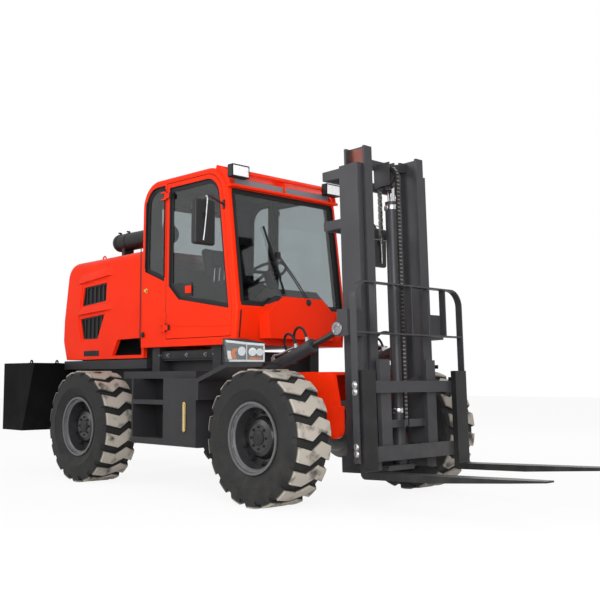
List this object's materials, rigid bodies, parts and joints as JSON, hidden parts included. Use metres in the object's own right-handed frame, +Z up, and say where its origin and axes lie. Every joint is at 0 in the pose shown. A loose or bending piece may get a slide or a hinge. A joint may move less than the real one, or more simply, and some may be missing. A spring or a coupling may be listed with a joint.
{
  "type": "rough terrain forklift",
  "caption": "Rough terrain forklift with a closed cab, lugged tyres, rear steering, a rear hood over the engine and a leaning two-stage mast with a fork carriage.",
  "frame": {"origin": "on the ground, midway along, across the middle of the machine", "axes": "+X towards the fork tips, +Y to the driver's left, +Z up"},
  "size_m": [6.6402, 2.445, 2.92],
  "materials": {
    "body_red": "gloss red-orange paint",
    "chassis_grey": "dark grey paint",
    "mast_grey": "dark grey paint",
    "black_paint": "satin black paint",
    "tyre": "worn rubber, dusty tread",
    "rim_grey": "dark grey paint",
    "axle_iron": "painted casting",
    "ballast_iron": "black painted casting",
    "glass": "clear with a grey tint",
    "lens": "clear",
    "black_plastic": "moulded black",
    "seat_cloth": "black cloth",
    "rod_chrome": "polished rod",
    "chain_steel": "oiled steel"
  },
  "bodies": {
    "chassis": {"frame": "chassis_grey", "front_frame": "body_red", "counterweight": "ballast_iron", "side_tanks": "chassis_grey", "front_fenders": "chassis_grey", "engine": "axle_iron", "front_axle": "axle_iron", "rear_axle": "axle_iron", "cab_frame": "body_red", "nose_panel": "body_red", "cab_glass": "glass", "roof_guard": "body_red", "lamp_housings": "black_plastic", "lamp_lenses": "lens", "mirrors": "black_plastic", "seat": "seat_cloth", "cab_controls": "black_plastic"},
    "hood": {"hood": "body_red", "hood_grilles": "black_plastic", "air_cleaner": "black_paint"},
    "door_right": {"door_right": "body_red", "door_glass_right": "glass"},
    "door_left": {"door_left": "body_red", "door_glass_left": "glass"},
    "mast": {"mast_outer": "mast_grey", "lift_cylinder": "mast_grey"},
    "inner_mast": {"mast_inner": "mast_grey", "lift_rod": "rod_chrome", "lift_chain": "chain_steel"},
    "carriage": {"carriage": "mast_grey", "backrest": "mast_grey", "forks": "black_paint"},
    "knuckle_right": {"knuckle_right": "axle_iron"},
    "knuckle_left": {"knuckle_left": "axle_iron"},
    "wheel_front_right": {"tyre_front_right": "tyre", "rim_front_right": "rim_grey"},
    "wheel_front_left": {"tyre_front_left": "tyre", "rim_front_left": "rim_grey"},
    "wheel_rear_right": {"tyre_rear_right": "tyre", "rim_rear_right": "rim_grey"},
    "wheel_rear_left": {"tyre_rear_left": "tyre", "rim_rear_left": "rim_grey"},
    "tilt_barrel_right": {"tilt_barrel_right": "mast_grey"},
    "tilt_rod_right": {"tilt_rod_right": "chain_steel"},
    "tilt_barrel_left": {"tilt_barrel_left": "mast_grey"},
    "tilt_rod_left": {"tilt_rod_left": "chain_steel"}
  },
  "joints": [
    {"name": "mast_tilt", "type": "hinge", "parent": "chassis", "child": "mast", "pos_m": [1.32986, 0, 0.6], "axis": [0, -1, 0], "range_deg": [-8, 10]},
    {"name": "mast_lift", "type": "slide", "parent": "mast", "child": "inner_mast", "axis": [-0.0349, 0, 0.9994], "range_m": [-0.11, 1.5]},
    {"name": "carriage_lift", "type": "slide", "parent": "inner_mast", "child": "carriage", "axis": [-0.0349, 0, 0.9994], "range_m": [-0.11, 1.5]},
    {"name": "hood_hinge", "type": "hinge", "parent": "chassis", "child": "hood", "pos_m": [-2.64214, 0, 1.196], "axis": [0, -1, 0], "range_deg": [0, 60]},
    {"name": "door_right_hinge", "type": "hinge", "parent": "chassis", "child": "door_right", "pos_m": [-0.66314, -0.715, 2.11], "axis": [0, 0, -1], "range_deg": [0, 160]},
    {"name": "door_left_hinge", "type": "hinge", "parent": "chassis", "child": "door_left", "pos_m": [-0.66314, 0.715, 2.11], "axis": [0, 0, 1], "range_deg": [0, 160]},
    {"name": "steer_right", "type": "hinge", "parent": "chassis", "child": "knuckle_right", "pos_m": [-1.54014, -0.64, 0.538], "axis": [0, 0, 1], "range_deg": [-30, 30]},
    {"name": "steer_left", "type": "hinge", "parent": "chassis", "child": "knuckle_left", "pos_m": [-1.54014, 0.64, 0.538], "axis": [0, 0, 1], "range_deg": [-30, 30]},
    {"name": "wheel_front_right_spin", "type": "hinge", "parent": "chassis", "child": "wheel_front_right", "pos_m": [1.02986, -0.93, 0.538], "axis": [0, 1, 0], "continuous": true},
    {"name": "wheel_front_left_spin", "type": "hinge", "parent": "chassis", "child": "wheel_front_left", "pos_m": [1.02986, 0.93, 0.538], "axis": [0, 1, 0], "continuous": true},
    {"name": "wheel_rear_right_spin", "type": "hinge", "parent": "knuckle_right", "child": "wheel_rear_right", "pos_m": [-1.54014, -0.93, 0.538], "axis": [0, 1, 0], "continuous": true},
    {"name": "wheel_rear_left_spin", "type": "hinge", "parent": "knuckle_left", "child": "wheel_rear_left", "pos_m": [-1.54014, 0.93, 0.538], "axis": [0, 1, 0], "continuous": true},
    {"name": "tilt_barrel_right_swing", "type": "hinge", "parent": "chassis", "child": "tilt_barrel_right", "pos_m": [0.54986, -0.555, 1.037], "axis": [0, -1, 0], "range_deg": [-3.7, 4.4]},
    {"name": "tilt_rod_right_slide", "type": "slide", "parent": "tilt_barrel_right", "child": "tilt_rod_right", "axis": [0.9355, 0, 0.3532], "range_m": [-0.128, 0.103]},
    {"name": "tilt_barrel_left_swing", "type": "hinge", "parent": "chassis", "child": "tilt_barrel_left", "pos_m": [0.54986, 0.555, 1.037], "axis": [0, -1, 0], "range_deg": [-3.7, 4.4]},
    {"name": "tilt_rod_left_slide", "type": "slide", "parent": "tilt_barrel_left", "child": "tilt_rod_left", "axis": [0.9355, 0, 0.3532], "range_m": [-0.128, 0.103]}
  ],
  "couplings": [
    {"joint": "carriage_lift", "follows": "mast_lift", "ratio": 1},
    {"joint": "steer_left", "follows": "steer_right", "ratio": 1},
    {"joint": "tilt_barrel_right_swing", "follows": "mast_tilt", "ratio": 0.42},
    {"joint": "tilt_rod_right_slide", "follows": "mast_tilt", "m_per_rad": -0.687},
    {"joint": "tilt_barrel_left_swing", "follows": "mast_tilt", "ratio": 0.42},
    {"joint": "tilt_rod_left_slide", "follows": "mast_tilt", "m_per_rad": -0.687}
  ]
}
